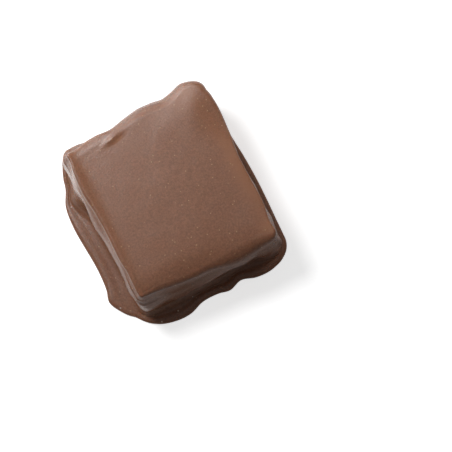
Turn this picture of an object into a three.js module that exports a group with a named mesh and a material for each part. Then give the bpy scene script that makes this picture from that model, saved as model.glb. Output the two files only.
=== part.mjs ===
// A square of nougat coated in milk chocolate: a low block with soft edges, standing in the thin
// foot that the coating made where it ran down the walls and set on the plate.
// Millimetres, +Z up. The front wall faces -Y. The origin is under the middle of the piece, on the plate.
import * as THREE from "three";

// The coated block
const BLOCK_WIDTH = 30.3;
const BLOCK_DEPTH = 33.4;
const HEIGHT = 14;
const WALL_CORNER = 1.6;

// The foot. Its rim curls in underneath, has its nose low down and rounds over to a slightly dished top,
// which meets the wall in a hollow that rises by this multiple of its width.
const RIM_TUCK = 0.4;
const NOSE_SHARE = 0.4;
const SHOULDER_IN = 0.4;
const SHOULDER_SHARE = 0.86;
const FLAT_IN = 1.1;
const FOOT_DISH = 0.05;
const HOLLOW_RISE = 2.4;

// The walls. The coating hangs in a fold that stands out like a belly, with a waist under it.
const RIPPLES = [
  { waves: 11, depth: 0.12, turn: 0.4 },
  { waves: 19, depth: 0.07, turn: 2.1 },
];

// Rounding from wall to top: points of a quarter turn, in degrees, and the flat after it
const ARC_TURNS = [20, 42, 62, 79, 90];
const FLAT_PAST_EDGE = 0.4;

// Stations round the block: [wall or corner, place, value]. The place on a wall is the x or y there,
// and the place on a corner is the share of its turn, counterclockwise.
// How far the foot runs out from the plain block
const FOOT_REACH = [
  ["front", -12, 2.9],
  ["front", -8.5, 3.7],
  ["front", -6, 3.6],
  ["front", -3, 2.6],
  ["front", 0.5, 2.55],
  ["front", 2.8, 3],
  ["front", 5.7, 2.2],
  ["front", 8.5, 3.05],
  ["front", 11.5, 3.2],
  ["front_right", 0.3, 2.3],
  ["front_right", 0.7, 2.2],
  ["right", -13, 2.35],
  ["right", -3, 2.85],
  ["right", 3, 2.8],
  ["right", 8, 2.5],
  ["back_right", 0.5, 2.2],
  ["back", 11, 3.3],
  ["back", 5, 3.7],
  ["back", -0.8, 3.4],
  ["back", -4.5, 3],
  ["back", -8, 3.2],
  ["back", -12.5, 3.2],
  ["back_left", 0.12, 2.8],
  ["back_left", 0.35, 1.7],
  ["back_left", 0.7, 1.1],
  ["left", 13.9, 1.5],
  ["left", 10.5, 3.1],
  ["left", 6.5, 3.65],
  ["left", -4.5, 3.3],
  ["left", -8.5, 3.6],
  ["left", -11, 4.2],
  ["left", -14.2, 2.6],
  ["front_left", 0.15, 1.2],
  ["front_left", 0.45, 0.95],
  ["front_left", 0.8, 1.4],
];

// How thick the foot is
const FOOT_THICKNESS = [
  ["front", -12, 0.9],
  ["front", -8, 1],
  ["front", 0, 0.9],
  ["front", 9, 1],
  ["right", 0, 0.9],
  ["back", 5, 1.1],
  ["back", -8, 1],
  ["back_left", 0.5, 0.7],
  ["left", 14, 0.6],
  ["left", 9, 0.75],
  ["left", 3, 0.9],
  ["left", -8, 0.95],
  ["left", -12, 0.9],
  ["front_left", 0.5, 0.7],
];

// How far the upper wall stands out from the plain block: the back right corner was dragged out
const WALL_STAND = [
  ["front", -12.5, -0.9],
  ["front", -10.4, -0.7],
  ["front", -7, -0.2],
  ["front", -3.6, 0.1],
  ["front", 0, 0.25],
  ["front", 3.2, 0.9],
  ["front", 6.6, 1.4],
  ["front", 9.6, 1.05],
  ["front", 12.7, 0.7],
  ["front_right", 0.5, 0.3],
  ["right", -13, -0.2],
  ["right", -4, 0],
  ["right", 1, 0.1],
  ["right", 5.5, 0.8],
  ["right", 11, 1.3],
  ["right", 14.2, 1.2],
  ["back_right", 0.15, 1],
  ["back_right", 0.5, 1.4],
  ["back_right", 0.85, 2.1],
  ["back", 12, 2.75],
  ["back", 9.5, 2.1],
  ["back", 7.5, 1.75],
  ["back", 5, 2.1],
  ["back", 1.5, 2.05],
  ["back", -1.4, 1.35],
  ["back", -4.5, 0.4],
  ["back", -8, 0.35],
  ["back", -11, 0.2],
  ["back", -13, 0],
  ["back_left", 0.5, -0.1],
  ["left", 14.2, -0.8],
  ["left", 12.6, -0.3],
  ["left", 10.5, 0.3],
  ["left", 8.5, 0.1],
  ["left", 6.8, -0.3],
  ["left", 2.9, -0.5],
  ["left", -1.9, -0.6],
  ["left", -5.4, -0.55],
  ["left", -8, -0.5],
  ["left", -10, -0.7],
  ["left", -12.5, -0.65],
  ["front_left", 0.5, -0.75],
];

// How far the fold in the coating stands out
const FOLD_STAND = [
  ["front", -13, 0.4],
  ["front", -8, 0.4],
  ["front", -3, 0.45],
  ["front", 0.5, 0.45],
  ["front", 3.2, 0.95],
  ["front", 6.6, 1.4],
  ["front", 9.6, 1.1],
  ["front", 12, 0.8],
  ["front_right", 0.5, 0.7],
  ["right", -13.5, 0.6],
  ["right", -9, 0.3],
  ["right", -4, 0.45],
  ["right", 1, 0.5],
  ["right", 5.5, 1],
  ["right", 11, 1.4],
  ["right", 14.2, 1.3],
  ["back_right", 0.5, 1.5],
  ["back", 12, 2.5],
  ["back", 6.5, 2],
  ["back", 1.5, 1.8],
  ["back", -4.5, 0.6],
  ["back", -8, 0.5],
  ["back", -12.5, 0.8],
  ["back_left", 0.3, 0.7],
  ["back_left", 0.7, 0.3],
  ["left", 14, 0.2],
  ["left", 12.6, 0.5],
  ["left", 10.9, 0.5],
  ["left", 9.2, 0.3],
  ["left", 6.8, 0.1],
  ["left", 2.9, -0.1],
  ["left", -2, -0.25],
  ["left", -12, -0.25],
  ["front_left", 0.5, 0.1],
];

// How far the lower wall stands out, just above the foot
const WAIST_STAND = [
  ["front", -12, 0],
  ["front", -6, 0.1],
  ["front", 1, -0.1],
  ["front", 6.6, -0.3],
  ["front", 9.3, -0.5],
  ["front", 12.7, 0.4],
  ["front_right", 0.5, 0.6],
  ["right", -14, 0.5],
  ["right", -10.5, -0.2],
  ["right", 8, -0.1],
  ["back_right", 0.5, 0.4],
  ["back", 5, 0.3],
  ["back", -5, -0.2],
  ["back", -12, 0.5],
  ["back_left", 0.35, 0.5],
  ["back_left", 0.7, 0.1],
  ["left", 14, 0.4],
  ["left", 12.5, 0.7],
  ["left", 10, 0.3],
  ["left", 6, -0.3],
  ["left", 0, -0.7],
  ["left", -10, -0.9],
  ["front_left", 0.5, -0.3],
];

// How far the hollow between the foot and the wall runs out
const HOLLOW = [
  ["front", -12, 0.45],
  ["front", 8, 0.45],
  ["right", 0, 0.4],
  ["back", 0, 0.5],
  ["left", 8, 0.25],
  ["left", -8, 0.25],
];

// Radius of the rounding from wall to top face
const EDGE_ROUND = [
  ["front", -12.5, 0.6],
  ["front", -10, 1],
  ["front", -4, 1.2],
  ["front", 0, 1.4],
  ["front", 3.2, 2.2],
  ["front", 6.6, 2.9],
  ["front", 9.6, 2.6],
  ["front", 12.3, 1.8],
  ["front_right", 0.2, 1.1],
  ["front_right", 0.6, 0.7],
  ["right", -12, 0.4],
  ["right", -8, 0.4],
  ["right", 4, 0.5],
  ["back_right", 0.5, 1.6],
  ["back", 10.8, 2.4],
  ["back", 7.7, 2.8],
  ["back", 1.6, 3.2],
  ["back", -1.4, 2.8],
  ["back", -4, 1.8],
  ["back", -7, 0.7],
  ["back", -12, 0.5],
  ["back_left", 0.5, 0.5],
  ["left", 10, 0.3],
  ["left", -10, 0.3],
  ["front_left", 0.5, 0.4],
];

// Height of the fold in the coating
const FOLD_HEIGHT = [
  ["front", -13, 8],
  ["front", -10.5, 7.2],
  ["front", -7.2, 4],
  ["front", -2.4, 4.4],
  ["front", 0.5, 6.5],
  ["front", 2.2, 9],
  ["front", 4, 10],
  ["front", 6.6, 10],
  ["front", 9.3, 9.8],
  ["front", 10.6, 7],
  ["front", 12, 4],
  ["front_right", 0.5, 6.5],
  ["right", -11, 7],
  ["right", -8, 6.5],
  ["right", 5, 5],
  ["back", 9, 7],
  ["back", -2, 6],
  ["back", -8, 10.5],
  ["back", -12.5, 11.5],
  ["back_left", 0.5, 11.5],
  ["left", 14, 10.6],
  ["left", 12.7, 10],
  ["left", 10.9, 10.8],
  ["left", 9.2, 11.5],
  ["left", 6, 9.5],
  ["left", -3, 9],
  ["left", -12, 9],
  ["front_left", 0.5, 8.6],
];

// Forms on the top, which is slightly crowned. It falls away to the front, to the back and to the dragged
// corner. A rim stands along the left edge, and a shallow step runs along the back edge beside it.
const TOP_FORMS = [
  { x: 0, y: 0, halfLength: 17, halfWidth: 18, turn: 0, rise: 0.7 },
  { x: -5, y: -17.2, halfLength: 14, halfWidth: 3, turn: 0, rise: -1.1 },
  { x: -14.6, y: 0, halfLength: 20, halfWidth: 1.4, turn: 90, rise: 0.42 },
  { x: -9, y: 16.6, halfLength: 6, halfWidth: 0.9, turn: 3, rise: -0.3 },
  { x: 8, y: 19.5, halfLength: 9, halfWidth: 5.5, turn: 0, rise: -1.6 },
  { x: 18, y: 11, halfLength: 9, halfWidth: 5, turn: 90, rise: -1.1 },
  { x: 14.2, y: 11.5, halfLength: 3, halfWidth: 2.2, turn: 60, rise: -0.2 },
  { x: 15.6, y: -4, halfLength: 14, halfWidth: 1.6, turn: 90, rise: -0.2 },
];

// Fineness of the surface
const AROUND = 132;
const CORNER_WALK = 6;
const UNDER_ROWS = 3;
const TOP_SHARES = [0.95, 0.9, 0.84, 0.75, 0.6, 0.4, 0.2, 0];

// The walk round the block, counterclockwise from the front wall's left end. Each wall and corner in
// turn gives the centre that the corner's arc turns about and the way the surface faces, in degrees.
const LEGS = ["front", "front_right", "right", "back_right", "back", "back_left", "left", "front_left"];
const spanX = BLOCK_WIDTH - 2 * WALL_CORNER;
const spanY = BLOCK_DEPTH - 2 * WALL_CORNER;
const corners = [
  [-spanX / 2, -spanY / 2],
  [spanX / 2, -spanY / 2],
  [spanX / 2, spanY / 2],
  [-spanX / 2, spanY / 2],
];
const knots = [0];
const stops = [...corners[0], -90];
corners.forEach((_, turn) => {
  const next = corners[(turn + 1) % corners.length];
  const span = turn % 2 ? spanY : spanX;
  knots.push(knots.at(-1) + span);
  stops.push(...next, 90 * turn - 90);
  knots.push(knots.at(-1) + CORNER_WALK);
  stops.push(...next, 90 * turn);
});
const PERIMETER = knots.at(-1);
const guide = new THREE.LinearInterpolant(knots, stops, 3);

// Distance along the walk of a place on a wall or corner.
function walkTo(leg, place) {
  const index = LEGS.indexOf(leg);
  const start = knots[index];
  const isCorner = index % 2 === 1;
  if (isCorner) return start + place * CORNER_WALK;
  const middle = (start + knots[index + 1]) / 2;
  return leg === "front" || leg === "right" ? middle + place : middle - place;
}

// A smooth value all the way round the block, from stations on it.
function roundTheBlock(stations) {
  const known = stations
    .map(([leg, place, value]) => [walkTo(leg, place), value])
    .sort((one, other) => one[0] - other[0]);
  const turns = [-PERIMETER, 0, PERIMETER].flatMap((shift) =>
    known.map(([walk, value]) => [walk + shift, value]),
  );
  const walks = turns.map(([walk]) => walk);
  const values = turns.map(([, value]) => value);
  const spline = new THREE.CubicInterpolant(walks, values, 1);
  return (walk) => spline.evaluate(walk)[0];
}
const footReach = roundTheBlock(FOOT_REACH);
const footThickness = roundTheBlock(FOOT_THICKNESS);
const wallStand = roundTheBlock(WALL_STAND);
const foldStand = roundTheBlock(FOLD_STAND);
const waistStand = roundTheBlock(WAIST_STAND);
const hollowWidth = roundTheBlock(HOLLOW);
const edgeRound = roundTheBlock(EDGE_ROUND);
const foldHeight = roundTheBlock(FOLD_HEIGHT);

// Soft waves in the walls, a whole number of them round the block.
function ripple(walk) {
  const angle = (2 * Math.PI * walk) / PERIMETER;
  return RIPPLES.reduce((sum, { waves, depth, turn }) => sum + depth * Math.sin(waves * angle + turn), 0);
}

// The section of the coating at one place: how far out from the plain block and how high each of its
// control points is, and the rows of the surface from it to the next.
function section(walk) {
  const reach = footReach(walk);
  const thick = footThickness(walk);
  const stand = wallStand(walk);
  const round = edgeRound(walk);
  const fold = foldHeight(walk);
  const sway = ripple(walk);
  const waist = waistStand(walk) + sway / 2;
  const belly = foldStand(walk) + sway;
  const hollow = hollowWidth(walk);
  const shoulder = HEIGHT - round;
  const flatStart = reach - FLAT_IN * thick;
  const arc = ARC_TURNS.map((degrees) => {
    const turn = THREE.MathUtils.degToRad(degrees);
    return { out: stand - (1 - Math.cos(turn)) * round, up: shoulder + Math.sin(turn) * round, rows: 1 };
  });
  return [
    { out: reach - RIM_TUCK, up: 0, rows: 2 },
    { out: reach, up: NOSE_SHARE * thick, rows: 2 },
    { out: reach - SHOULDER_IN * thick, up: SHOULDER_SHARE * thick, rows: 1 },
    { out: flatStart, up: thick, rows: 2 },
    { out: (flatStart + waist) / 2, up: thick - FOOT_DISH, rows: 2 },
    { out: waist + hollow, up: thick + (HOLLOW_RISE * hollow) / 3, rows: 1 },
    { out: waist, up: thick + HOLLOW_RISE * hollow, rows: 3 },
    { out: belly, up: fold, rows: 3 },
    { out: stand + (belly - stand) / 3, up: (fold + shoulder) / 2, rows: 2 },
    { out: stand, up: shoulder, rows: 1 },
    ...arc,
    { out: stand - round - FLAT_PAST_EDGE, up: HEIGHT, rows: 0 },
  ];
}

// Points on the smooth curve through the section, evenly spaced between its control points.
function sectionRows(walk) {
  const points = section(walk);
  const along = [0];
  for (let i = 1; i < points.length; i += 1) {
    const step = Math.hypot(points[i].out - points[i - 1].out, points[i].up - points[i - 1].up);
    along.push(along.at(-1) + step);
  }
  const spline = new THREE.CubicInterpolant(along, points.flatMap(({ out, up }) => [out, up]), 2);
  const inside = points.flatMap(({ rows }, i) =>
    Array.from({ length: rows }, (_, k) => [
      ...spline.evaluate(THREE.MathUtils.lerp(along[i], along[i + 1], k / rows)),
    ]),
  );
  return [...inside, [points.at(-1).out, points.at(-1).up]];
}

// Rise of the top face at a place on it.
function topRise(x, y) {
  return TOP_FORMS.reduce((sum, form) => {
    const turn = THREE.MathUtils.degToRad(form.turn);
    const along = ((x - form.x) * Math.cos(turn) + (y - form.y) * Math.sin(turn)) / form.halfLength;
    const across = ((y - form.y) * Math.cos(turn) - (x - form.x) * Math.sin(turn)) / form.halfWidth;
    return sum + form.rise * Math.exp(-along * along - across * across);
  }, 0);
}

// Raises or sinks a point with the top face, less and less towards the plate.
function settle(point) {
  const share = THREE.MathUtils.smoothstep(point.z, 0, HEIGHT) ** 2;
  point.z += share * topRise(point.x, point.y);
  return point;
}

// One column of the skin, from the middle of the underside, up the section, to the middle of the top.
function column(walk) {
  const [centreX, centreY, facing] = guide.evaluate(walk);
  const angle = THREE.MathUtils.degToRad(facing);
  const points = sectionRows(walk).map(([out, up]) => {
    const arm = WALL_CORNER + out;
    return new THREE.Vector3(centreX + arm * Math.cos(angle), centreY + arm * Math.sin(angle), up);
  });
  const inward = (from, share) => new THREE.Vector3(from.x * share, from.y * share, from.z);
  const under = Array.from({ length: UNDER_ROWS }, (_, i) => inward(points[0], i / UNDER_ROWS));
  const top = TOP_SHARES.map((share) => inward(points.at(-1), share));
  return [...under, ...points, ...top].map(settle);
}

// The skin is a turned blank whose columns are moved onto the columns of the coating.
function coatedBlock() {
  const columns = Array.from({ length: AROUND }, (_, i) => column((PERIMETER * i) / AROUND));
  const rows = columns[0].length;
  const blankProfile = Array.from(
    { length: rows },
    (_, j) => new THREE.Vector2(Math.min(j, rows - 1 - j), j),
  );
  const skin = new THREE.LatheGeometry(blankProfile, AROUND);
  const position = skin.getAttribute("position");
  for (let i = 0; i <= AROUND; i += 1) {
    columns[i % AROUND].forEach((point, j) => position.setXYZ(i * rows + j, point.x, point.y, point.z));
  }
  skin.computeBoundingBox();
  const middle = skin.boundingBox.getCenter(new THREE.Vector3());
  skin.translate(-middle.x, -middle.y, -skin.boundingBox.min.z);
  skin.computeVertexNormals();
  return skin;
}

const milkChocolate = new THREE.MeshStandardMaterial({ color: 0x7d5745, roughness: 0.42, metalness: 0 });
const piece = new THREE.Mesh(coatedBlock(), milkChocolate);
piece.name = "coated_nougat";

const chocolateNougat = new THREE.Group();
chocolateNougat.add(piece);
export default chocolateNougat;
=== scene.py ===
import math

import bpy
import numpy as np
from mathutils import Matrix, Vector, noise


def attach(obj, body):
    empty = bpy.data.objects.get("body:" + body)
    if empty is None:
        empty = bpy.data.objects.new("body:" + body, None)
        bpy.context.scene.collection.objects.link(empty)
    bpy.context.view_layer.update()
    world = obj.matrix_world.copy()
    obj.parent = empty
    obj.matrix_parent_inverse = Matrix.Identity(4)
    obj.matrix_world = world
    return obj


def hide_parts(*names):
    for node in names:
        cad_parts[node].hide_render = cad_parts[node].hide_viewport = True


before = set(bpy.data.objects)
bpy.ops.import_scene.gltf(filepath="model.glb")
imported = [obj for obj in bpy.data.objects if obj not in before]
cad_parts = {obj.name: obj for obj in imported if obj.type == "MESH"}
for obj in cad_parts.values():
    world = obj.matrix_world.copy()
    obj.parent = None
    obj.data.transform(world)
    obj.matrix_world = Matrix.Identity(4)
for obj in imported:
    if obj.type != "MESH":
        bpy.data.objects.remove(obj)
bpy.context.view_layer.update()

MILLIMETRE = 0.001
WHITE = (1, 1, 1, 1)

# The coated block
BLOCK_WIDTH = 30.3
BLOCK_DEPTH = 33.4
HEIGHT = 14.0
WALL_CORNER = 1.6

# The foot: its rim curls in underneath, has its nose low down and rounds over to a slightly dished top,
# which meets the wall in a hollow. The nose, the shoulder and the start of the flat are in thicknesses of
# the foot. The hollow rises by a multiple of how far it runs out, and bends at a share of that rise.
RIM_TUCK = 0.4
NOSE_UP = 0.4
SHOULDER_IN = 0.4
SHOULDER_UP = 0.86
FLAT_IN = 1.1
FOOT_DISH = 0.05
HOLLOW_RISE = 2.4
HOLLOW_BEND = 1 / 3

# The walls. A ripple is (waves round the block, depth, turn in radians).
RIPPLES = [(11, 0.12, 0.4), (19, 0.07, 2.1)]

# Rounding from wall to top: points of a quarter turn, and the flat after it
ARC_TURNS = np.radians([20, 42, 62, 78, 88, 90])
FLAT_PAST_EDGE = 0.4

# Stations round the block: (place, value) on each wall or corner. The place on a wall is the x or y
# there, and the place on a corner is the share of its turn, counterclockwise.

# How far the foot runs out from the plain block
FOOT_REACH = {
    "front": [
        (-12, 2.9), (-8.5, 3.7), (-6, 3.6), (-3, 2.6), (0.5, 2.55), (2.8, 3), (5.7, 2.2), (8.5, 3.05),
        (11.5, 3.2),
    ],
    "front_right": [(0.3, 2.3), (0.7, 2.2)],
    "right": [(-13, 2.35), (-3, 2.85), (3, 2.8), (8, 2.5)],
    "back_right": [(0.5, 2.2)],
    "back": [(11, 3.3), (5, 3.7), (-0.8, 3.4), (-4.5, 3), (-8, 3.2), (-12.5, 3.2)],
    "back_left": [(0.12, 2.8), (0.35, 1.7), (0.7, 1.1)],
    "left": [(13.9, 1.5), (10.5, 3.1), (6.5, 3.65), (-4.5, 3.3), (-8.5, 3.6), (-11, 4.2), (-14.2, 2.6)],
    "front_left": [(0.15, 1.2), (0.45, 0.95), (0.8, 1.4)],
}
# How thick the foot is
FOOT_THICKNESS = {
    "front": [(-12, 0.9), (-8, 1), (0, 0.9), (9, 1)],
    "right": [(0, 0.9)],
    "back": [(5, 1.1), (-8, 1)],
    "back_left": [(0.5, 0.7)],
    "left": [(14, 0.5), (12.5, 0.45), (10.5, 0.5), (8.5, 0.65), (4, 0.9), (-8, 0.95), (-12, 0.9)],
    "front_left": [(0.5, 0.7)],
}
# How far the upper wall stands out from the plain block
WALL_STAND = {
    "front": [
        (-12.5, -0.9), (-10.4, -0.7), (-7, -0.2), (-3.6, 0.1), (0, 0.25), (3.2, 0.9), (6.6, 1.4),
        (9.6, 1.05), (12.7, 0.7),
    ],
    "front_right": [(0.5, -0.1)],
    "right": [
        (-13.5, -0.6), (-12, -0.4), (-10.5, -0.1), (-8, 0), (-4, 0), (1, 0.1), (5.5, 0.8), (11, 1.3),
        (14.2, 1.2),
    ],
    "back_right": [(0.15, 1), (0.5, 1.6), (0.85, 2.15)],
    "back": [
        (12, 2.75), (9.5, 2.1), (7.5, 1.75), (5, 2.1), (1.5, 2.05), (-1.4, 1.35), (-4.5, 0.4), (-8, 0.3),
        (-10.5, 0), (-13, -0.5),
    ],
    "back_left": [(0.5, -0.55)],
    "left": [
        (14.2, -0.85), (12.6, -0.55), (10.5, -0.28), (8.5, -0.1), (6.8, -0.12), (2.9, -0.5), (-1.9, -0.6),
        (-5.4, -0.47), (-8, -0.5), (-10, -0.7), (-12.5, -0.65),
    ],
    "front_left": [(0.5, -0.75)],
}
# How far the fold in the coating stands out
FOLD_STAND = {
    "front": [
        (-13, 0.4), (-8, 0.4), (-3, 0.45), (0.5, 0.45), (3.2, 0.95), (6.6, 1.4), (9.6, 1.1), (12, 0.8),
    ],
    "front_right": [(0.3, 0.6), (0.5, 0.9), (0.7, 0.6)],
    "right": [
        (-13.5, 0.6), (-12, 0.6), (-10.5, 0.3), (-9, 0.3), (-4, 0.33), (1, 0.42), (5.5, 1.02), (11, 1.4),
        (14.2, 1.3),
    ],
    "back_right": [(0.5, 1.5)],
    "back": [(12, 2.5), (6.5, 2), (1.5, 1.8), (-4.5, 0.6), (-8, 0.5), (-12.5, 0.95)],
    "back_left": [(0.3, 0.7), (0.7, 0.2)],
    "left": [
        (14, -0.2), (12.6, -0.1), (10.9, 0.3), (9.2, 0.32), (6.8, 0.3), (2.9, 0.35), (-2, 0.26),
        (-5.4, 0.15), (-8, 0), (-12, 0.1),
    ],
    "front_left": [(0.5, 0.2)],
}
# How far the lower wall stands out, just above the foot
WAIST_STAND = {
    "front": [(-12, 0), (-6, 0.1), (1, -0.1), (6.6, -0.3), (9.3, -0.5), (12.7, 0.4)],
    "front_right": [(0.5, 0.6)],
    "right": [(-14, 0.5), (-10.5, -0.2), (8, -0.1)],
    "back_right": [(0.5, 0.4)],
    "back": [(5, 0.3), (-5, -0.2), (-12, 0.5)],
    "back_left": [(0.35, 0.5), (0.7, 0.1)],
    "left": [(14, 0.4), (12.5, 0.8), (10.5, 1.1), (8.7, 0.6), (7, 0), (5, -0.4), (0, -0.7), (-10, -0.9)],
    "front_left": [(0.5, -0.3)],
}
# How far the hollow between the foot and the wall runs out
HOLLOW = {
    "front": [(-12, 0.45), (8, 0.45)],
    "right": [(0, 0.4)],
    "back": [(0, 0.5)],
    "back_left": [(0.35, 0.15), (0.7, 0.1)],
    "left": [(14, 0.1), (12.5, 0.25), (10.5, 0.5), (8.7, 0.5), (5, 0.4), (-8, 0.4)],
    "front_left": [(0.5, 0.2)],
}
# Radius of the rounding from wall to top face
EDGE_ROUND = {
    "front": [(-12.5, 0.6), (-10, 1), (-4, 1.2), (0, 1.4), (3.2, 2.2), (6.6, 2.9), (9.6, 2.6), (12.3, 1.8)],
    "front_right": [(0.2, 1.1), (0.6, 0.7)],
    "right": [(-12, 0.4), (-8, 0.4), (4, 0.5)],
    "back_right": [(0.5, 1.6)],
    "back": [(10.8, 2.4), (7.7, 2.8), (1.6, 3.2), (-1.4, 2.8), (-4, 1.8), (-7, 0.7), (-12, 0.5)],
    "back_left": [(0.5, 0.5)],
    "left": [(12, 0.4), (8, 0.6), (0, 0.8), (-10, 0.7)],
    "front_left": [(0.5, 0.4)],
}
# Share of the way out to the fold that the wall has gone halfway down to it
UPPER_SHARE = {
    "front": [(-12, 0.33), (12, 0.33)],
    "right": [(-14, 0.33), (14, 0.33)],
    "back": [(12, 0.33), (-12, 0.33)],
    "left": [(13, 0.45), (8, 0.65), (-10, 0.65)],
    "front_left": [(0.5, 0.45)],
}
# Height of the fold in the coating
FOLD_HEIGHT = {
    "front": [
        (-13, 8), (-10.5, 7.2), (-7.2, 4), (-2.4, 4.4), (0.5, 6.5), (2.2, 9), (4, 10), (6.6, 10),
        (9.3, 9.8), (10.6, 7), (12, 4),
    ],
    "front_right": [(0.5, 6.5)],
    "right": [(-12, 9), (-8, 11), (0, 11), (8, 7)],
    "back": [(9, 7), (-2, 6), (-8, 10.5), (-12.5, 11.5)],
    "back_left": [(0.5, 11.5)],
    "left": [
        (14, 10.6), (12.7, 10.2), (10.9, 11.2), (9.2, 12.5), (6.8, 12.5), (3, 11.6), (-3, 11.3),
        (-7, 11.4), (-12, 11.2),
    ],
    "front_left": [(0.5, 10)],
}

# Forms on the top: (x, y, half length, half width, turn in degrees, rise). The top is crowned and falls
# away most to the front and to the dragged corner. A rim runs along its left edge, and a low lip that
# ends in a bump along its back edge.
TOP_FORMS = [
    (0, 0, 17, 18, 0, 0.7),
    (-5, -17.2, 14, 3, 0, -1.1),
    (-14.6, 0, 20, 1.4, 90, 0.5),
    (-14.5, 11, 5, 1.2, 90, 0.25),
    (-9.5, 17.6, 6, 3, 5, -0.3),
    (-9.1, 14.95, 5, 0.5, 8, 0.04),
    (-5, 14.7, 1.7, 0.6, 12, 0.45),
    (9, 19.5, 9, 5.5, 0, -1.05),
    (18, 8.5, 5.5, 5, 90, -1.05),
    (14.2, 11.5, 3, 2.2, 60, -0.2),
    (15.6, -4, 14, 1.6, 90, -0.2),
]

# Folds in the walls: the crest's stations in order round the block, (wall or corner, place, height, rise),
# and how far the fold fades above and below the crest
FOLDS = [
    # The swag of the front wall, which rises to the right, drops and turns up round the corner
    (
        [
            ("front", -9, 4.6, 0), ("front", -7, 3.9, 0.15), ("front", -3.6, 4.5, 0.15),
            ("front", -0.2, 6.2, 0.2), ("front", 2, 8.7, 0.2), ("front", 4, 9.9, 0.2),
            ("front", 6.6, 10.1, 0.2), ("front", 9.2, 9.8, 0.2), ("front", 10.3, 7, 0.3),
            ("front", 11, 4.2, 0.35), ("front", 12.5, 3, 0.35), ("front_right", 0, 3.6, 0.3),
            ("front_right", 0.3, 5, 0.3), ("front_right", 0.6, 7.5, 0.2), ("front_right", 0.9, 9, 0),
        ],
        0.6,
        0.5,
    ),
    # A crease that goes on from the swag's top to the front right corner
    (
        [
            ("front", 8.6, 10.2, 0), ("front", 10.5, 9.2, 0.12), ("front", 12.8, 8, 0.12),
            ("front_right", 0.3, 8, 0),
        ],
        0.4,
        0.3,
    ),
    # Three creases round the front left corner, from the top one down
    (
        [
            ("left", -8, 12.7, 0), ("left", -11, 12.4, 0.1), ("left", -14, 12.2, 0.15),
            ("front_left", 0.5, 12, 0.12), ("front", -13, 12.2, 0.08), ("front", -11, 12.6, 0),
        ],
        0.25,
        0.3,
    ),
    (
        [
            ("left", -13, 11.4, 0), ("front_left", 0.3, 10.8, 0.12), ("front_left", 0.8, 10.2, 0.12),
            ("front", -12, 9.4, 0.08), ("front", -10, 9, 0.05), ("front", -7.5, 9, 0),
        ],
        0.4,
        0.3,
    ),
    (
        [
            ("left", -12.5, 7, 0), ("front_left", 0.3, 7, 0.15), ("front_left", 0.7, 6.6, 0.15),
            ("front", -13, 6.4, 0.12), ("front", -10, 5.6, 0.08), ("front", -8, 4.5, 0),
        ],
        0.35,
        0.3,
    ),
    # The crest along the left wall
    (
        [
            ("left", 9.4, 12.6, 0), ("left", 7, 12.4, 0.04), ("left", 3, 11.6, 0.1),
            ("left", -2, 11.3, 0.1), ("left", -8, 11.4, 0.1), ("left", -11, 11.1, 0.15),
            ("left", -13, 10.4, 0.18), ("left", -14.5, 9.5, 0),
        ],
        0.4,
        0.2,
    ),
    # A crease of the back wall that runs out at the back left corner
    (
        [
            ("back", -9, 11.6, 0), ("back", -11, 11.8, 0.1), ("back", -13, 11.8, 0.12),
            ("back_left", 0.25, 12, 0.12), ("back_left", 0.6, 12.5, 0.06), ("left", 14.9, 12.6, 0),
        ],
        0.3,
        0.5,
    ),
    # Two creases that sag across the back end of the left wall, the lower one first
    (
        [
            ("back_left", 0.4, 12.4, 0.06), ("left", 14.2, 10.7, 0.11), ("left", 12.75, 10, 0.1),
            ("left", 10.9, 10.9, 0.08), ("left", 9.4, 12.2, 0.08), ("left", 8.6, 12.8, 0),
        ],
        0.3,
        0.4,
    ),
    (
        [
            ("back_left", 0.3, 13.2, 0), ("back_left", 0.6, 12.9, 0.06), ("left", 14.5, 12.4, 0.09),
            ("left", 13.2, 11.8, 0.09), ("left", 11.4, 12.4, 0.06), ("left", 10.2, 13, 0),
        ],
        0.22,
        0.3,
    ),
]

# Lumps on the sides and on the top: (size, depth). The sides' lumps pass into the top's in a band below
# the top's level. The foot has only a share of them, and above it they grow from one height on, over
# another. All relief grows from nothing at the plate, over a small height.
SIDE_LUMPS = [(4.0, 0.08), (1.7, 0.035), (0.8, 0.012)]
TOP_LUMPS = [(5.0, 0.05), (1.8, 0.012)]
TOP_BAND = 2.0
LUMPS_ON_FOOT = 0.15
LUMPS_FROM = 1.5
LUMPS_GROW = 2.0
RELIEF_GROWS = 0.4

# The dull parts of the sides: the band below the top's level in which they turn dull, the height up to
# which the foot is dull, and the height over which it clears
DULL_BAND = 0.8
DULL_FOOT = 1.3
DULL_CLEARS = 0.7

# Places on the top where the chocolate is painted lighter and warmer: partly thinner chocolate, partly a
# painted glow of light along the edges: (x, y, half length, half width, turn in degrees, share)
THIN_AND_GLOW_PLACES = [
    (-13.4, -1, 15, 0.9, 90, 0.2),
    (14, -2, 12, 1.8, 90, 0.8),
    (13.5, -14.5, 2, 1.5, 0, 0.6),
    (11.5, 17, 4, 3.2, 0, 0.9),
    (-4.4, 13.9, 1.6, 0.5, 12, 0.8),
    (-10, 16.1, 4.5, 0.5, 7, 0.6),
]

# Fineness of the net: columns across the front and the back, columns along each side, and rows of the
# section from each of its control points to the next
FRONT_COLUMNS = 120
SIDE_COLUMNS = 132
SECTION_ROWS = [4, 4, 4, 7, 6, 6, 26, 28, 26, 4, 4, 4, 4, 3, 1, 3]

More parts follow.
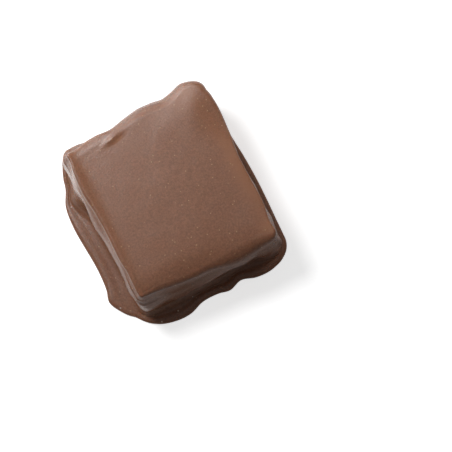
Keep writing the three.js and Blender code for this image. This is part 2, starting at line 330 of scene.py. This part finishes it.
# The walk round the block, counterclockwise from the front wall's left end. A corner counts as longer than
# it is, so that what changes there has room. Each knot between two legs has the centre that its corner is
# rounded about, and the angle that the wall faces there.
CORNER_WALK = 6
LEGS = ["front", "front_right", "right", "back_right", "back", "back_left", "left", "front_left"]
SPAN_X = BLOCK_WIDTH - 2 * WALL_CORNER
SPAN_Y = BLOCK_DEPTH - 2 * WALL_CORNER
LEG_LENGTHS = [SPAN_X, CORNER_WALK, SPAN_Y, CORNER_WALK] * 2
KNOTS = np.concatenate([[0], np.cumsum(LEG_LENGTHS)])
PERIMETER = KNOTS[-1]
CENTRES_X = np.array([-1, 1, 1, 1, 1, -1, -1, -1, -1]) * SPAN_X / 2
CENTRES_Y = np.array([-1, -1, -1, 1, 1, 1, 1, -1, -1]) * SPAN_Y / 2
FACINGS = np.radians([-90, -90, 0, 0, 90, 90, 180, 180, 270])

# The chocolate's colours, and the share of its mottle at which the dark one ends and the light one begins
CHOCOLATE_DARK = (0.150, 0.0635, 0.035)
CHOCOLATE_LIGHT = (0.288, 0.128, 0.0705)
# The lighter, warmer colour of thinner chocolate, which also stands for a painted glow of light along the
# edges
CHOCOLATE_THIN_AND_GLOW = (0.290, 0.126, 0.065)
DARK_TO = 0.3
LIGHT_FROM = 0.7

# Its mottle and its grain: (size, detail, roughness) of the noise, and how deep the grain is
MOTTLE = (0.38, 5.0, 0.75)
GRAIN = (0.3, 3.0, 0.6)
GRAIN_DEPTH = 0.045

# Its specks all over, and light dots painted on the foot as glints of light on tiny bumps: (spacing,
# radius), the colour, the share of the radius that has the full colour, and the heights between which the
# painted glints of the foot end
SPECKS = (1.3, 0.14)
SPECK_COLOUR = (0.40, 0.23, 0.12)
FOOT_PAINTED_GLINTS = (2.2, 0.2)
FOOT_GLINT_COLOUR = (0.55, 0.44, 0.36)
SPECK_CORE = 0.7
FOOT_GLINTS_FADE = 2.0
FOOT_GLINTS_END = 2.5

# Its shine, and the light that soaks into it: the share that does, how deep, and what part of that depth
# red, green and blue go
WALL_ROUGHNESS = 0.27
DULL_ROUGHNESS = 0.4
SHINE_INDEX = 1.46
SOAK_SHARE = 0.3
SOAK_DEPTH = 0.7
SOAK_BY_COLOUR = (1.0, 0.4, 0.2)

# The camera, fitted to the photo. Its place is in metres in the part's frame.
PHOTO_SIZE = 452
FOCAL_PIXELS = 2200
SENSOR = 36.0
CAMERA_AZIMUTH = -27.5
CAMERA_ELEVATION = 76.0
CAMERA_PLACE = (-0.03986, -0.10119, 0.4229)

# The lamps: places and sizes in metres, powers in watts
KEY_PLACE = (-0.044, 0.0735, 0.149)
KEY_SIZE = 0.065
KEY_POWER = 0.195
BACK_PLACE = (-0.1, 0.5, 0.55)
BACK_SIZE = 0.3
BACK_POWER = 5.8
WINDOW_PLACE = (-0.15, 0.7, 0.2)
WINDOW_SIZE = 0.6
WINDOW_POWER = 4.5
FILL_PLACE = (0.42, 0.2, 0.22)
FILL_SIZE = 0.2
FILL_POWER = 0.7

# The table: half its side in metres, its finish and its glow as it is seen. The glow that it lends to the
# piece is dim in front and bright behind: the direction in which it brightens, and how far along that, in
# metres, the dim part ends and the bright part begins.
FLOOR_HALF = 2.0
FLOOR_COLOUR = (0.9, 0.9, 0.9, 1)
FLOOR_ROUGHNESS = 0.9
FLOOR_SHINE = 0.1
FLOOR_GLOW_SEEN = 0.645
FLOOR_GLOW_DIM = 0.04
FLOOR_GLOW_BRIGHT = 1.05
FLOOR_BRIGHTENS = (-0.3, 0.95, 0)
FLOOR_DIM_TO = -0.02
FLOOR_BRIGHT_FROM = 0.035

# The room: its light from all round and from the ceiling, the upward part of a direction at which the
# ceiling begins and is in full, and the backdrop past the table
ROOM_LIGHT = 0.08
CEILING_LIGHT = 0.35
CEILING_FROM = 0.75
CEILING_FULL = 0.95
BACKDROP = 0.93


# The shape

def walk_to(leg, place):
    """Distance along the walk of a place on a wall or corner."""
    index = LEGS.index(leg)
    start = KNOTS[index]
    if index % 2:
        return start + place * CORNER_WALK
    middle = (start + KNOTS[index + 1]) / 2
    return middle + place if leg in ("front", "right") else middle - place


def hermite(share, start, start_slope, end, end_slope):
    """Point on a cubic with these ends, at a share of the way; the slopes are per whole step."""
    square = share * share
    cube = square * share
    return (
        (2 * cube - 3 * square + 1) * start
        + (cube - 2 * square + share) * start_slope
        + (3 * square - 2 * cube) * end
        + (cube - square) * end_slope
    )


def knot_slopes(chords):
    """Slope at each knot of a smooth curve: the mean of the chords on its two sides."""
    inner = (chords[1:] + chords[:-1]) / 2
    return np.concatenate([chords[:1], inner, chords[-1:]])


def smooth_curve(at, values, walks):
    """Values at the walks of a smooth curve through known ones, which are in order."""
    steps = np.diff(at)
    slopes = knot_slopes(np.diff(values) / steps)
    i = np.clip(np.searchsorted(at, walks, side="right") - 1, 0, len(steps) - 1)
    share = (walks - at[i]) / steps[i]
    return hermite(share, values[i], slopes[i] * steps[i], values[i + 1], slopes[i + 1] * steps[i])


def round_the_block(stations, walks):
    """A smooth value all the way round the block, from stations on it."""
    known = [(walk_to(leg, place), value) for leg, row in stations.items() for place, value in row]
    known = np.array(sorted(known))
    turns = np.concatenate([known + (shift, 0) for shift in (-PERIMETER, 0, PERIMETER)])
    return smooth_curve(turns[:, 0], turns[:, 1], walks)


def ripple(walks):
    """Soft waves in the walls, a whole number of them round the block."""
    angle = 2 * math.pi * walks / PERIMETER
    return sum(depth * np.sin(waves * angle + turn) for waves, depth, turn in RIPPLES)


def section(walks):
    """Control points of the coating's section at each place: how far out from the block, and how high."""
    reach = round_the_block(FOOT_REACH, walks)
    thick = round_the_block(FOOT_THICKNESS, walks)
    flat_start = reach - FLAT_IN * thick
    sway = ripple(walks)
    waist = round_the_block(WAIST_STAND, walks) + sway / 2
    hollow = round_the_block(HOLLOW, walks)
    belly = round_the_block(FOLD_STAND, walks) + sway
    fold = round_the_block(FOLD_HEIGHT, walks)
    stand = round_the_block(WALL_STAND, walks)
    upper = stand + round_the_block(UPPER_SHARE, walks) * (belly - stand)
    rounding = round_the_block(EDGE_ROUND, walks)
    shoulder = HEIGHT - rounding
    arc = [
        (stand - (1 - math.cos(turn)) * rounding, shoulder + math.sin(turn) * rounding)
        for turn in ARC_TURNS
    ]
    points = [
        (reach - RIM_TUCK, 0 * walks),
        (reach, NOSE_UP * thick),
        (reach - SHOULDER_IN * thick, SHOULDER_UP * thick),
        (flat_start, thick),
        ((flat_start + waist) / 2, thick - FOOT_DISH),
        (waist + hollow, thick + HOLLOW_BEND * HOLLOW_RISE * hollow),
        (waist, thick + HOLLOW_RISE * hollow),
        (belly, fold),
        (upper, (fold + shoulder) / 2),
        (stand, shoulder),
        *arc,
        (stand - rounding - FLAT_PAST_EDGE, arc[-1][1]),
    ]
    return np.array([np.stack(point, axis=-1) for point in points])


def section_rows(points):
    """Rows of the skin on the smooth curve through the section's control points."""
    steps = np.linalg.norm(np.diff(points, axis=0), axis=2)[..., None]
    slopes = knot_slopes(np.diff(points, axis=0) / steps)
    rows = [
        hermite(k / count, points[i], slopes[i] * steps[i], points[i + 1], slopes[i + 1] * steps[i])
        for i, count in enumerate(SECTION_ROWS)
        for k in range(count)
    ]
    return np.array([*rows, points[-1]])


def soft_forms(x, y, forms):
    """Sum of soft forms at a place: each is (x, y, half length, half width, turn in degrees, height)."""
    total = 0
    for middle_x, middle_y, half_length, half_width, degrees, height in forms:
        turn = math.radians(degrees)
        along = ((x - middle_x) * math.cos(turn) + (y - middle_y) * math.sin(turn)) / half_length
        across = ((y - middle_y) * math.cos(turn) - (x - middle_x) * math.sin(turn)) / half_width
        total = total + height * np.exp(-along * along - across * across)
    return total


def settle(points):
    """Raises or sinks the points with the top face, less and less towards the plate."""
    x, y, z = np.moveaxis(points, -1, 0)
    share = np.clip(z / HEIGHT, 0, 1)
    share = share * share * (3 - 2 * share)
    return np.stack([x, y, z + share**2 * soft_forms(x, y, TOP_FORMS)], axis=-1)


def column_walks():
    """Places of the columns on the walk, evenly from the middle of one corner to the middle of the next."""
    turns = [walk_to(leg, 0.5) for leg in LEGS[1::2]]
    turns = [turns[-1] - PERIMETER, *turns]
    counts = [FRONT_COLUMNS, SIDE_COLUMNS] * 2
    sides = [np.linspace(a, b, n, endpoint=False) for a, b, n in zip(turns, turns[1:], counts)]
    return np.concatenate(sides) % PERIMETER


def on_the_plan(rows, walks):
    """Points of the skin's sides, from how far out and how high each one is."""
    facing = np.interp(walks, KNOTS, FACINGS)
    arm = WALL_CORNER + rows[..., 0]
    x = np.interp(walks, KNOTS, CENTRES_X) + arm * np.cos(facing)
    y = np.interp(walks, KNOTS, CENTRES_Y) + arm * np.sin(facing)
    return np.stack([x, y, rows[..., 1]], axis=-1)


def way_along(line):
    """Share of the way along a line of points, at each of them."""
    way = np.cumsum(np.linalg.norm(np.diff(line, axis=0), axis=1))
    return np.concatenate([[0], way]) / way[-1]


def borders(ring):
    """The ring round the top as its front, right, back and left border, from the left or from the front."""
    a, b = FRONT_COLUMNS, SIDE_COLUMNS
    closed = np.concatenate([ring, ring[:1]])
    front = closed[: a + 1]
    right = closed[a : a + b + 1]
    back = closed[a + b : 2 * a + b + 1][::-1]
    left = closed[2 * a + b :][::-1]
    return front, right, back, left


def top_patch(ring):
    """Grid of points that fills the ring round the top, with the ring as its border."""
    front, right, back, left = borders(ring)
    u = ((way_along(front) + way_along(back)) / 2)[:, None, None]
    v = ((way_along(left) + way_along(right)) / 2)[None, :, None]
    across = (1 - u) * left[None] + u * right[None]
    along = (1 - v) * front[:, None] + v * back[:, None]
    corners = (1 - u) * ((1 - v) * front[0] + v * back[0]) + u * ((1 - v) * front[-1] + v * back[-1])
    return across + along - corners


def fold_relief(heights, walks):
    """How far the folds stand out from the sides, at each height and place."""
    total = np.zeros_like(heights)
    for stations, above, below in FOLDS:
        at = np.unwrap([walk_to(leg, place) for leg, place, _, _ in stations], period=PERIMETER)
        crest, rise = np.array([station[2:] for station in stations]).T
        ahead = at[0] + (walks - at[0]) % PERIMETER
        height = np.where(ahead < at[-1], smooth_curve(at, rise, ahead), 0)
        offset = heights - smooth_curve(at, crest, ahead)
        fade = np.where(offset > 0, above, below)
        total += height * np.exp(-((offset / fade) ** 2))
    return total


def lump_relief(points, lumps):
    """The slight unevenness of set chocolate, smooth at each of its sizes."""
    flat = points.reshape(-1, 3)
    total = np.zeros(len(flat))
    for size, depth in lumps:
        total += [depth * noise.noise(Vector(point / size)) for point in flat]
    return total.reshape(points.shape[:-1])


def grown(values, start, width):
    """Shares that grow from 0 at the start to 1 a width past it."""
    return np.clip((values - start) / width, 0, 1)


def side_relief(sides, heights, walks):
    """How far the lumps and folds stand out from the sides, at each of their points."""
    near_top = grown(heights, HEIGHT - TOP_BAND, TOP_BAND)
    off_foot = np.maximum(grown(heights, LUMPS_FROM, LUMPS_GROW), LUMPS_ON_FOOT)
    side_lumps = lump_relief(sides, SIDE_LUMPS) * off_foot * (1 - near_top)
    top_lumps = lump_relief(sides, TOP_LUMPS) * near_top
    off_plate = grown(heights, 0, RELIEF_GROWS)
    return (side_lumps + top_lumps + fold_relief(heights, walks)) * off_plate


def unit(vectors):
    """The vectors at a length of one."""
    return vectors / np.linalg.norm(vectors, axis=2, keepdims=True)


def outward(sides):
    """Outward directions of the sides, a grid of points that closes round its columns."""
    along = np.roll(sides, -1, axis=1) - np.roll(sides, 1, axis=1)
    return unit(np.cross(along, np.gradient(sides, axis=0)))


def upward(top):
    """Outward directions of the top, a grid of points."""
    return unit(np.cross(np.gradient(top, axis=0), np.gradient(top, axis=1)))


def thin_and_glow_share(points):
    """Share of thinner chocolate and painted edge glow at each point, on the top and just below its edge.
    """
    x, y, z = np.moveaxis(points, -1, 0)
    shares = np.clip(soft_forms(x, y, THIN_AND_GLOW_PLACES), 0, 1)
    return shares * grown(z, HEIGHT - TOP_BAND, TOP_BAND)


def dull_share(heights):
    """Share of dullness of the sides at each height: full at the top's edge and the foot, none between."""
    edge = grown(heights, HEIGHT - DULL_BAND, DULL_BAND)
    foot = 1 - grown(heights, DULL_FOOT, DULL_CLEARS)
    return edge + foot


def skin():
    """Points of the sides, from the plate up, and of the top, which has their last row as its border. Then
    the shares of thinner chocolate and painted edge glow on the sides and the top, and the share of
    dullness of the sides."""
    walks = column_walks()
    rows = section_rows(section(walks))
    heights = rows[..., 1]
    plain = on_the_plan(rows, walks)
    sides = settle(plain)
    middle = (sides.min(axis=(0, 1)) + sides.max(axis=(0, 1))) / 2
    sides = sides + outward(sides) * side_relief(sides, heights, walks)[..., None]
    top = settle(top_patch(plain[-1]))
    top = top + upward(top) * lump_relief(top, TOP_LUMPS)[..., None]
    shift = np.array([*middle[:2], 0])
    return sides - shift, top - shift, thin_and_glow_share(sides), thin_and_glow_share(top), dull_share(heights)


def side_faces(index):
    """Faces between the rows of the sides, which close round the block."""
    after = np.roll(index, -1, axis=1)
    return np.stack([index[:-1], after[:-1], after[1:], index[1:]], axis=-1).reshape(-1, 4)


def top_faces(ring, first):
    """Faces of the top's grid. Its border is the ring, and its inner points are numbered from the first."""
    a, b = FRONT_COLUMNS, SIDE_COLUMNS
    grid = np.zeros((a + 1, b + 1), dtype=int)
    grid[:, 0], grid[-1, :], grid[:, -1], grid[0, :] = borders(ring)
    grid[1:-1, 1:-1] = first + np.arange((a - 1) * (b - 1)).reshape(a - 1, b - 1)
    quads = [grid[:-1, :-1], grid[1:, :-1], grid[1:, 1:], grid[:-1, 1:]]
    return np.stack(quads, axis=-1).reshape(-1, 4)


def coating_mesh():
    """The mesh of the coating, in metres, with its box's middle where the solid's is."""
    sides, top, thin_and_glow_sides, thin_and_glow_top, dull_sides = skin()
    index = np.arange(dull_sides.size).reshape(dull_sides.shape)
    under = index[0][::-1]
    faces = [*side_faces(index).tolist(), *top_faces(index[-1], index.size).tolist(), under.tolist()]
    inner_top = top[1:-1, 1:-1].reshape(-1, 3)
    points = np.concatenate([sides.reshape(-1, 3), inner_top])
    thin_and_glow = np.concatenate([thin_and_glow_sides.ravel(), thin_and_glow_top[1:-1, 1:-1].ravel()])
    dull = np.concatenate([dull_sides.ravel(), np.ones(len(inner_top))])
    mesh = bpy.data.meshes.new("coating")
    mesh.from_pydata((points * MILLIMETRE).tolist(), [], faces)
    mesh.polygons.foreach_set("use_smooth", [True] * len(mesh.polygons))
    # Shares of thinner chocolate with painted edge glow, and of dullness, kept at the points
    for name, values in (("thin_and_glow", thin_and_glow), ("dull", dull)):
        mesh.attributes.new(name, "FLOAT", "POINT").data.foreach_set("value", values)
    mesh.validate()
    return mesh


# The materials

class Nodes:
    """Short ways to add nodes to a material or to the world, and to join them."""

    def __init__(self, owner, shader):
        owner.use_nodes = True
        self.tree = owner.node_tree
        self.shader = self.tree.nodes[shader]
        self.places = self.add("ShaderNodeTexCoord", {}).outputs

    def feed(self, socket, value):
        """Joins another node's output to the socket, or sets the socket to a constant."""
        if isinstance(value, bpy.types.NodeSocket):
            self.tree.links.new(value, socket)
        else:
            socket.default_value = value

    def add(self, kind, inputs, **settings):
        """A new node with these settings and these values at its inputs."""
        node = self.tree.nodes.new(kind)
        for name, value in settings.items():
            setattr(node, name, value)
        for name, value in inputs.items():
            self.feed(node.inputs[name], value)
        return node

    def attribute(self, name):
        """A value that the mesh has at each point."""
        return self.add("ShaderNodeAttribute", {}, attribute_name=name).outputs["Fac"]

    def height(self, place):
        """The upward part of a place or a direction."""
        return self.add("ShaderNodeSeparateXYZ", {"Vector": place}).outputs["Z"]

    def noise(self, size, detail, roughness):
        """Noise of this size in millimetres."""
        inputs = {
            "Vector": self.places["Object"],
            "Scale": 1 / (size * MILLIMETRE),
            "Detail": detail,
            "Roughness": roughness,
        }
        return self.add("ShaderNodeTexNoise", inputs).outputs["Fac"]

    def specks(self, spacing, radius):
        """Shares of small specks, here and there, at this spacing in millimetres."""
        inputs = {"Vector": self.places["Object"], "Scale": 1 / (spacing * MILLIMETRE)}
        distance = self.add("ShaderNodeTexVoronoi", inputs).outputs["Distance"]
        return self.limits(distance, SPECK_CORE * radius / spacing, radius / spacing, 1, 0)

    def ramp(self, value, stops):
        """Colour that runs from each stop's to the next."""
        node = self.add("ShaderNodeValToRGB", {"Fac": value})
        for point, (place, colour) in zip(node.color_ramp.elements, stops):
            point.position = place
            point.color = (*colour, 1)
        return node.outputs["Color"]

    def limits(self, value, low, high, to_low, to_high):
        """The value, moved from one pair of limits to another."""
        inputs = {"Value": value, "From Min": low, "From Max": high, "To Min": to_low, "To Max": to_high}
        return self.add("ShaderNodeMapRange", inputs).outputs["Result"]

    def seen_or_lent(self, seen, lent):
        """One value where the camera looks straight at it, and another where it lights something."""
        looked_at = self.add("ShaderNodeLightPath", {}).outputs["Is Camera Ray"]
        return self.limits(looked_at, 0, 1, lent, seen)

    def times(self, one, other):
        """The two values multiplied."""
        return self.add("ShaderNodeMath", {0: one, 1: other}, operation="MULTIPLY").outputs["Value"]

    def mixed(self, share, colour, other):
        """The colour, with a share of another one."""
        inputs = {"Factor": share, "A": colour, "B": (*other, 1)}
        return self.add("ShaderNodeMix", inputs, data_type="RGBA").outputs["Result"]

    def bump(self, height, depth):
        """Fine relief of this depth in millimetres."""
        inputs = {"Height": height, "Distance": depth * MILLIMETRE}
        return self.add("ShaderNodeBump", inputs).outputs["Normal"]


def chocolate_colour(nodes):
    """Mottled brown, lighter and warmer where the chocolate is thinner and where a glow along edges is
    painted, with specks, and light dots painted on the foot as glints.
    """
    mottle = nodes.noise(*MOTTLE)
    colour = nodes.ramp(mottle, [(DARK_TO, CHOCOLATE_DARK), (LIGHT_FROM, CHOCOLATE_LIGHT)])
    # Lighter and warmer where the chocolate is thinner, which also paints a glow of light along the edges
    colour = nodes.mixed(nodes.attribute("thin_and_glow"), colour, CHOCOLATE_THIN_AND_GLOW)
    colour = nodes.mixed(nodes.specks(*SPECKS), colour, SPECK_COLOUR)
    # Light dots on the foot, painted glints of light, which fade out above it
    height = nodes.height(nodes.places["Object"])
    low = nodes.limits(height, FOOT_GLINTS_FADE * MILLIMETRE, FOOT_GLINTS_END * MILLIMETRE, 1, 0)
    painted_glints = nodes.times(nodes.specks(*FOOT_PAINTED_GLINTS), low)
    return nodes.mixed(painted_glints, colour, FOOT_GLINT_COLOUR)


def milk_chocolate():
    """Milk chocolate that shines on the walls and is dull on the top and the foot."""
    material = bpy.data.materials.new("milk_chocolate")
    nodes = Nodes(material, "Principled BSDF")
    shader = nodes.shader
    roughness = nodes.limits(nodes.attribute("dull"), 0, 1, WALL_ROUGHNESS, DULL_ROUGHNESS)
    nodes.feed(shader.inputs["Base Color"], chocolate_colour(nodes))
    nodes.feed(shader.inputs["Roughness"], roughness)
    nodes.feed(shader.inputs["Normal"], nodes.bump(nodes.noise(*GRAIN), GRAIN_DEPTH))
    shader.inputs["IOR"].default_value = SHINE_INDEX
    shader.inputs["Subsurface Weight"].default_value = SOAK_SHARE
    shader.inputs["Subsurface Radius"].default_value = SOAK_BY_COLOUR
    shader.inputs["Subsurface Scale"].default_value = SOAK_DEPTH * MILLIMETRE
    return material


def white_table():
    """Plain white that glows a little, so that it bleaches out where the light falls on it."""
    material = bpy.data.materials.new("white_table")
    nodes = Nodes(material, "Principled BSDF")
    shader = nodes.shader
    shader.inputs["Base Color"].default_value = FLOOR_COLOUR
    shader.inputs["Roughness"].default_value = FLOOR_ROUGHNESS
    shader.inputs["Specular IOR Level"].default_value = FLOOR_SHINE
    shader.inputs["Emission Color"].default_value = WHITE
    inputs = {0: nodes.places["Object"], 1: FLOOR_BRIGHTENS}
    along = nodes.add("ShaderNodeVectorMath", inputs, operation="DOT_PRODUCT").outputs["Value"]
    lent = nodes.limits(along, FLOOR_DIM_TO, FLOOR_BRIGHT_FROM, FLOOR_GLOW_DIM, FLOOR_GLOW_BRIGHT)
    nodes.feed(shader.inputs["Emission Strength"], nodes.seen_or_lent(FLOOR_GLOW_SEEN, lent))
    return material


# The scene

def placed(name, data):
    """A new object with this data, in the scene."""
    thing = bpy.data.objects.new(name, data)
    bpy.context.scene.collection.objects.link(thing)
    return thing


def coating():
    """The coated piece, which stands for the solid."""
    piece = placed("chocolate_coating", coating_mesh())
    piece.data.materials.append(milk_chocolate())
    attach(piece, "root")
    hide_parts("coated_nougat")
    return piece


def floor():
    """A plain table under the piece."""
    half = FLOOR_HALF
    corners = [(-half, -half, 0), (half, -half, 0), (half, half, 0), (-half, half, 0)]
    mesh = bpy.data.meshes.new("floor")
    mesh.from_pydata(corners, [], [(0, 1, 2, 3)])
    mesh.materials.append(white_table())
    table = placed("floor", mesh)


def lamp(name, place, size, power):
    """A round lamp that faces the middle of the piece."""
    light = bpy.data.lights.new(name, "AREA")
    light.shape = "DISK"
    light.size = size
    light.energy = power
    holder = placed(name, light)
    holder.location = place
    holder.rotation_mode = "QUATERNION"
    holder.rotation_quaternion = (-Vector(place)).to_track_quat("-Z", "Y")
    return holder


def lights(piece):
    """The key lights the piece and the table, and the other lamps light the piece alone. The key and the
    fill give it no shine, and the back lamp and the window give it nothing else."""
    key = lamp("key", KEY_PLACE, KEY_SIZE, KEY_POWER)
    back = lamp("back", BACK_PLACE, BACK_SIZE, BACK_POWER)
    fill = lamp("fill", FILL_PLACE, FILL_SIZE, FILL_POWER)
    window = lamp("window", WINDOW_PLACE, WINDOW_SIZE, WINDOW_POWER)
    lit = bpy.data.collections.new("lit")
    lit.objects.link(piece)
    for holder in (back, fill, window):
        holder.light_linking.receiver_collection = lit
    for holder in (key, fill):
        holder.visible_glossy = False
    for holder in (back, window):
        holder.visible_diffuse = False


def room():
    """Dim light from all round, more of it from the ceiling, and a pale backdrop past the table."""
    world = bpy.data.worlds.new("room")
    bpy.context.scene.world = world
    nodes = Nodes(world, "Background")
    height = nodes.height(nodes.places["Generated"])
    lent = nodes.limits(height, CEILING_FROM, CEILING_FULL, ROOM_LIGHT, CEILING_LIGHT)
    nodes.feed(nodes.shader.inputs["Strength"], nodes.seen_or_lent(BACKDROP, lent))
    nodes.shader.inputs["Color"].default_value = WHITE


def camera():
    """The camera of the photo."""
    azimuth = math.radians(CAMERA_AZIMUTH)
    elevation = math.radians(CAMERA_ELEVATION)
    level = math.cos(elevation)
    back = Vector((math.sin(azimuth) * level, -math.cos(azimuth) * level, math.sin(elevation)))
    right = Vector((math.cos(azimuth), math.sin(azimuth), 0))
    up = back.cross(right)
    lens = bpy.data.cameras.new("camera")
    lens.sensor_width = SENSOR
    lens.lens = SENSOR * FOCAL_PIXELS / PHOTO_SIZE
    holder = placed("camera", lens)
    turn = Matrix((right, up, back)).transposed().to_4x4()
    holder.matrix_world = Matrix.Translation(CAMERA_PLACE) @ turn
    bpy.context.scene.camera = holder


camera()
lights(coating())
floor()
room()
# The colours are shown as they are, because the table is pure white in the photo
bpy.context.scene.view_settings.view_transform = "Standard"
